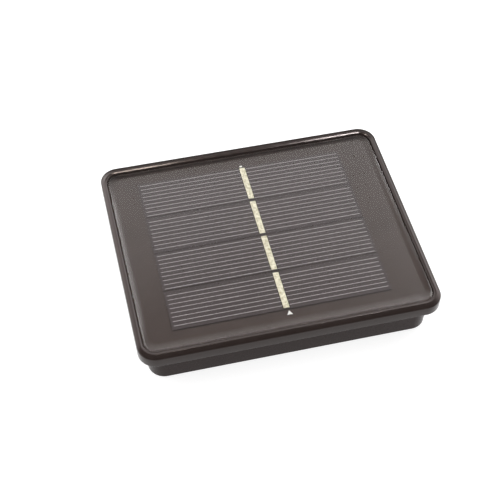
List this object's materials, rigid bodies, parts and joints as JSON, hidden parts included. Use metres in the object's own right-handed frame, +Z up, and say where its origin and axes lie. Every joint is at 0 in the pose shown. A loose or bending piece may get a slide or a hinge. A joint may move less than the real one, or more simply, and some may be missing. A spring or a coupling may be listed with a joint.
{
  "type": "solar fountain pump panel unit",
  "caption": "Flat solar panel housing with resin-covered cell strips, a rechargeable cell behind a base door, a slide switch and a socket for the pump lead.",
  "frame": {"origin": "centre of the flat base, on the surface it stands on", "axes": "+X along the long side of the panel, +Y towards the rear wall with the output socket, +Z up through the panel face"},
  "size_m": [0.107, 0.0896, 0.0165],
  "materials": {
    "brown_plastic": "dark brown injection-moulded ABS, semi-gloss",
    "black_plastic": "black moulded nylon",
    "panel_board_black": "black solder-masked glass-epoxy board",
    "silicon": "dark brown-violet coated silicon with fine printed fingers",
    "tinned_copper": "solder-tinned copper ribbon, pale cream",
    "white_ink": "white tinned solder pad",
    "clear_resin": "clear potting epoxy, high gloss",
    "seal_rubber": "black silicone rubber",
    "zinc_steel": "zinc-plated steel",
    "nickel": "nickel-plated spring steel",
    "cell_sleeve": "steel can in a green plastic sleeve",
    "green_board": "green glass-epoxy circuit board",
    "chip_black": "black moulded component body",
    "ferrite": "dark grey ferrite drum core",
    "can_silver": "aluminium capacitor can",
    "red_lead": "red PVC insulation on copper strands",
    "black_lead": "black PVC insulation on copper strands"
  },
  "bodies": {
    "housing": {"bezel_frame": "brown_plastic", "rear_tub": "brown_plastic", "perimeter_seal": "seal_rubber", "door_gasket": "seal_rubber", "socket_seal": "seal_rubber", "wire_grommet": "seal_rubber", "panel_board": "panel_board_black", "resin_cover": "clear_resin", "terminal_pad_far": "white_ink", "terminal_pad_near": "white_ink", "door_hinge_pin": "zinc_steel", "battery_cell": "cell_sleeve", "battery_contact_positive": "nickel", "battery_contact_negative": "nickel", "battery_spring": "nickel", "circuit_board": "green_board", "driver_chip": "chip_black", "blocking_diode": "chip_black", "chip_resistor_1": "chip_black", "chip_resistor_2": "chip_black", "boost_inductor": "ferrite", "filter_capacitor": "can_silver", "switch_housing": "black_plastic", "switch_plate": "nickel", "output_socket": "black_plastic", "socket_pin": "nickel", "socket_nut": "nickel", "panel_lead_positive": "red_lead", "battery_lead_positive": "red_lead", "output_lead_positive": "red_lead", "panel_lead_negative": "black_lead", "battery_lead_negative": "black_lead", "output_lead_negative": "black_lead", "solar_strip_1": "silicon", "tabbing_ribbon_1": "tinned_copper", "housing_screw_1": "zinc_steel", "solar_strip_2": "silicon", "tabbing_ribbon_2": "tinned_copper", "housing_screw_2": "zinc_steel", "solar_strip_3": "silicon", "tabbing_ribbon_3": "tinned_copper", "housing_screw_3": "zinc_steel", "solar_strip_4": "silicon", "tabbing_ribbon_4": "tinned_copper", "housing_screw_4": "zinc_steel", "series_link_1": "tinned_copper", "series_link_2": "tinned_copper", "series_link_3": "tinned_copper", "board_screw_1": "zinc_steel", "board_screw_2": "zinc_steel"},
    "battery_door": {"battery_door": "brown_plastic"},
    "switch_slider": {"switch_slider": "black_plastic"}
  },
  "joints": [
    {"name": "battery_door_hinge", "type": "hinge", "parent": "housing", "child": "battery_door", "pos_m": [0, -0.0276, 0.0012], "axis": [-1, 0, 0], "range_deg": [0, 95]},
    {"name": "switch_slide", "type": "slide", "parent": "housing", "child": "switch_slider", "axis": [1, 0, 0], "range_m": [0, 0.002]}
  ]
}
